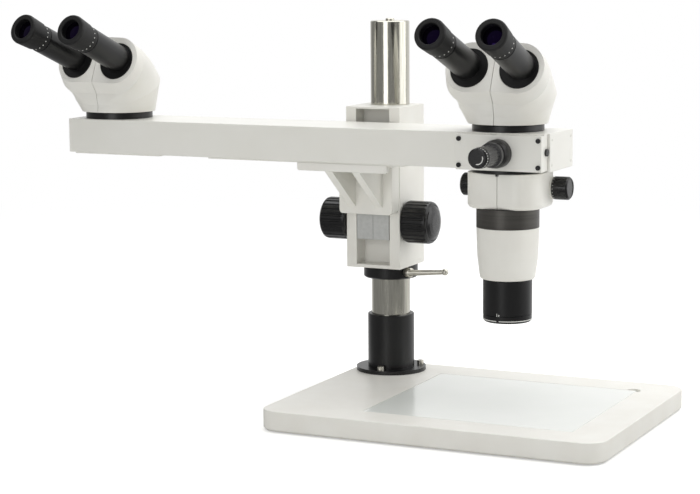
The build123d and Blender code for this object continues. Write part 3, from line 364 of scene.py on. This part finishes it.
place = Vector((low.x + zoomHole["inset"], zoomAxis.y, zoomAxis.z)) + outwards * (high.z - low.z) / 2
# both finishes of the hole are the flat black that paints the shade inside it
settle("zoom_knob_hole", socketScrew(zoomHole), standing(place, outwards, (1, 0, 0)), zoomJoint["child"],
       (recessPaintedShade, recessPaintedShade))

# the pointer cap's white arc and the fine bars round its side
capArc = {"radii": (6.3 * mm, 7.3 * mm), "span": (-102, 22), "lift": 0.04 * mm, "steps": 40}
capMarks = {"count": 24, "along": 2.6 * mm, "around": 0.7 * mm, "depth": 0.16 * mm, "inset": 3.4 * mm}
capJoint = joints["pointer_cap_turn"]
low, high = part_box("pointer_cap")
capRadius = (high.x - low.x) / 2
capSpot = Vector((capJoint["pos_m"][0], low.y, capJoint["pos_m"][2]))
arc = arcBand(capArc["radii"], (capArc["lift"], capArc["lift"]), capArc["span"], capArc["steps"])
settle("pointer_cap_arc", arc, standing(capSpot, (0, -1, 0)), capJoint["child"], (markingPaint,))
bars = grown(marksTree, {
    "Count": capMarks["count"], "Radius": capRadius, "Along": capMarks["along"],
    "Around": capMarks["around"], "Depth": capMarks["depth"], "Round": False, "Finish": markingPaint})
place = capSpot + Vector((0, capMarks["inset"], 0))
settle("pointer_cap_marks", bars, standing(place, (0, -1, 0)), capJoint["child"])

# the objective's power in white, and the broken white line on its bottom ring
powerWord = {"text": "1x", "height": 5.2 * mm, "depth": 0.04 * mm, "turn": -92, "fromBottom": 8.9 * mm}
lineMark = {"fromBottom": 2.6 * mm, "high": 0.9 * mm, "gapAt": -92.4, "gapHalf": 3.2, "lift": 0.04 * mm,
            "setback": 0.2 * mm, "steps": 120}
low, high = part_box("objective")
barrelRadius = (high.x - low.x) / 2
barrelCentre = Vector(((low.x + high.x) / 2, (low.y + high.y) / 2, low.z))
wordCurve = bpy.data.curves.new("powerWord", "FONT")
wordCurve.body = powerWord["text"]
wordCurve.size = powerWord["height"]
wordCurve.align_x = "CENTER"
wordCarrier = bpy.data.objects.new("powerWord", wordCurve)
bpy.context.collection.objects.link(wordCarrier)
wordMesh = bpy.data.meshes.new_from_object(wordCarrier.evaluated_get(bpy.context.evaluated_depsgraph_get()))
bpy.data.objects.remove(wordCarrier)
reach = barrelRadius + powerWord["depth"]
for point in wordMesh.vertices:
    bearing = math.radians(powerWord["turn"]) + point.co.x / reach
    point.co = (reach * math.cos(bearing), reach * math.sin(bearing), point.co.y + powerWord["fromBottom"])
settle("objective_power", wordMesh, Matrix.Translation(barrelCentre), "arm", (markingPaint,))
ringRadius = barrelRadius - lineMark["setback"] + lineMark["lift"]
span = (lineMark["gapAt"] + lineMark["gapHalf"], lineMark["gapAt"] + 360 - lineMark["gapHalf"])
heights = (lineMark["fromBottom"], lineMark["fromBottom"] + lineMark["high"])
line = arcBand((ringRadius, ringRadius), heights, span, lineMark["steps"])
settle("objective_line", line, Matrix.Translation(barrelCentre), "arm", (markingPaint,))

# hexagon socket set screws: one at the front of each head ring, one under the zoom body's black ring; their socket
# floors are painted shade
ringScrew = {"radius": 2.3 * mm, "proud": 0.1 * mm, "edge": 0.2 * mm, "sunk": 0.4 * mm, "socket": 1.3 * mm,
             "deep": 0.45 * mm, "turn": -86.5}
bodyScrew = {"radius": 2.2 * mm, "proud": 1.3 * mm, "edge": 0.3 * mm, "sunk": 0.5 * mm, "socket": 1.1 * mm,
             "deep": 0.9 * mm, "dropped": 1.4 * mm, "aside": 0.3 * mm}
turn = math.radians(ringScrew["turn"])
outwards = Vector((math.cos(turn), math.sin(turn), 0))
for head in ("main", "second"):
    low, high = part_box(head + "_head_ring")
    place = (low + high) / 2 + outwards * (high.x - low.x) / 2
    settle(head + "_ring_screw", socketScrew(ringScrew), standing(place, outwards), "arm", (blackAnodised, recessPaintedShade))
low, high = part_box("zoom_body_left")
place = (high.x + bodyScrew["aside"], low.y, high.z - bodyScrew["dropped"])
settle("zoom_body_screw", socketScrew(bodyScrew), standing(place, (0, -1, 0)), "arm", (groundSteel, recessPaintedShade))

# four painted screws in each end plate of the arm, their socket floors black with painted shade
plateScrew = {"radius": 2.0 * mm, "proud": 0.35 * mm, "edge": 0.25 * mm, "sunk": 0.3 * mm, "socket": 0.9 * mm,
              "deep": 0.5 * mm, "insetY": 7.1 * mm, "insetZ": 7.8 * mm}
for hand, side in (("right", 1), ("left", -1)):
    low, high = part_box(f"arm_{hand}_plate")
    faceX = high.x if side > 0 else low.x
    for row, placeY in enumerate((low.y + plateScrew["insetY"], high.y - plateScrew["insetY"])):
        for level, placeZ in enumerate((low.z + plateScrew["insetZ"], high.z - plateScrew["insetZ"])):
            seat = standing((faceX, placeY, placeZ), (side, 0, 0))
            settle(f"plate_screw_{hand}_{row}{level}", socketScrew(plateScrew), seat, "arm", (creamEnamel, recessPaintedShade))
print("marks and screws added")


# studio: white floor and backdrop, a darker room in front, soft boxes above, at the right and in front
studio = {
    "floorRadius": 6.0,
    "floorTone": "#E6E6E4",
    "floorGlow": 0.42,  # only camera and glass rays see it; the shadow stays
    "fadeFrom": 0.9,
    "fadeTo": 2.2,
    "worldFill": 0.34,
    "mirroredFront": 0.33,  # what mirrors see of the dark room in front
    "mirroredBack": 1.0,  # and of the white backdrop
    "backFrom": 0.3,  # how far back a direction points where the backdrop begins, as the y of a unit vector
    "backTo": 0.8,
    "lamps": (
        {"name": "topBox", "place": (0.1, 0.5, 2.4), "aim": (0.0, 0.3, 0.2), "size": (3.2, 3.0), "watts": 60},
        {"name": "rightBox", "place": (1.55, 0.55, 0.75), "aim": (0.0, 0.1, 0.25), "size": (1.5, 1.4), "watts": 11},
        {"name": "frontBox", "place": (-0.05, -2.3, 0.7), "aim": (0.0, 0.1, 0.3), "size": (1.0, 1.5), "watts": 13},
    ),
}
floorMesh = bpy.data.meshes.new("floor")
floorShape = bmesh.new()
bmesh.ops.create_circle(floorShape, cap_ends=True, segments=96, radius=studio["floorRadius"])
floorShape.to_mesh(floorMesh)
floorShape.free()
floor = bpy.data.objects.new("floor", floorMesh)
bpy.context.collection.objects.link(floor)

floorFinish = bpy.data.materials.new("floorPaper")
floorFinish.use_nodes = True
tree = floorFinish.node_tree
tree.nodes.clear()
rays = addNode(tree, "ShaderNodeLightPath").outputs
seen = addNode(tree, "ShaderNodeMath", {
    0: rays["Is Camera Ray"], 1: rays["Is Glossy Ray"]}, operation="ADD").outputs[0]
seen = addNode(tree, "ShaderNodeMath", {
    0: seen, 1: rays["Is Transmission Ray"]}, operation="ADD", use_clamp=True).outputs[0]
place = addNode(tree, "ShaderNodeTexCoord").outputs["Object"]
away = addNode(tree, "ShaderNodeVectorMath", {0: place}, operation="LENGTH").outputs["Value"]
fade = addNode(tree, "ShaderNodeMapRange", {
    "Value": away, "From Min": studio["fadeFrom"], "From Max": studio["fadeTo"]},
    interpolation_type="SMOOTHSTEP").outputs["Result"]
fadeSeen = addNode(tree, "ShaderNodeMath", {0: fade, 1: seen}, operation="MULTIPLY").outputs[0]
fadeSeen = addNode(tree, "ShaderNodeMath", {0: fadeSeen, 1: rays["Is Glossy Ray"]}, operation="MAXIMUM").outputs[0]
glowShare = addNode(tree, "ShaderNodeMath", {0: seen, 1: studio["floorGlow"]}, operation="MULTIPLY").outputs[0]
paper = addNode(tree, "ShaderNodeBsdfDiffuse", {"Color": toLinear(studio["floorTone"])}).outputs[0]
glow = addNode(tree, "ShaderNodeEmission", {"Strength": glowShare}).outputs[0]
lit = addNode(tree, "ShaderNodeAddShader", {0: paper, 1: glow}).outputs[0]
heading = addNode(tree, "ShaderNodeVectorMath", {0: place}, operation="NORMALIZE").outputs["Vector"]
backness = addNode(tree, "ShaderNodeSeparateXYZ", {"Vector": heading}).outputs["Y"]
backRange = {"From Min": studio["backFrom"], "From Max": studio["backTo"],
             "To Min": studio["mirroredFront"], "To Max": studio["mirroredBack"]}
whiteLevel = addNode(tree, "ShaderNodeMapRange", {"Value": backness, **backRange}).outputs["Result"]
whiteLevel = addNode(tree, "ShaderNodeMath", {0: whiteLevel, 1: rays["Is Camera Ray"]}, operation="MAXIMUM").outputs[0]
white = addNode(tree, "ShaderNodeEmission", {"Strength": whiteLevel}).outputs[0]
addNode(tree, "ShaderNodeOutputMaterial", {
    "Surface": addNode(tree, "ShaderNodeMixShader", {0: fadeSeen, 1: lit, 2: white}).outputs[0]})
floorMesh.materials.append(floorFinish)

world = bpy.data.worlds.new("studioSurround")
bpy.context.scene.world = world
world.use_nodes = True
tree = world.node_tree
tree.nodes.clear()
rays = addNode(tree, "ShaderNodeLightPath").outputs
mirrored = addNode(tree, "ShaderNodeMath", {0: rays["Is Glossy Ray"], 1: rays["Is Transmission Ray"]},
                   operation="ADD", use_clamp=True).outputs[0]
direction = addNode(tree, "ShaderNodeTexCoord").outputs["Generated"]
backness = addNode(tree, "ShaderNodeSeparateXYZ", {"Vector": direction}).outputs["Y"]
mirroredLevel = addNode(tree, "ShaderNodeMapRange", {"Value": backness, **backRange}).outputs["Result"]
level = addNode(tree, "ShaderNodeMapRange", {
    "Value": mirrored, "To Min": studio["worldFill"], "To Max": mirroredLevel}).outputs["Result"]
level = addNode(tree, "ShaderNodeMath", {0: level, 1: rays["Is Camera Ray"]}, operation="MAXIMUM").outputs[0]
addNode(tree, "ShaderNodeOutputWorld", {
    "Surface": addNode(tree, "ShaderNodeBackground", {"Color": toLinear("#FFFFFF"), "Strength": level}).outputs[0]})

for lamp in studio["lamps"]:
    lampData = bpy.data.lights.new(lamp["name"], "AREA")
    lampData.shape = "RECTANGLE"
    lampData.size, lampData.size_y = lamp["size"]
    lampData.energy = lamp["watts"]
    lampObject = bpy.data.objects.new(lamp["name"], lampData)
    bpy.context.collection.objects.link(lampObject)
    lampObject.location = lamp["place"]
    towards = Vector(lamp["aim"]) - Vector(lamp["place"])
    lampObject.rotation_euler = towards.to_track_quat("-Z", "Y").to_euler()
print("studio ready")
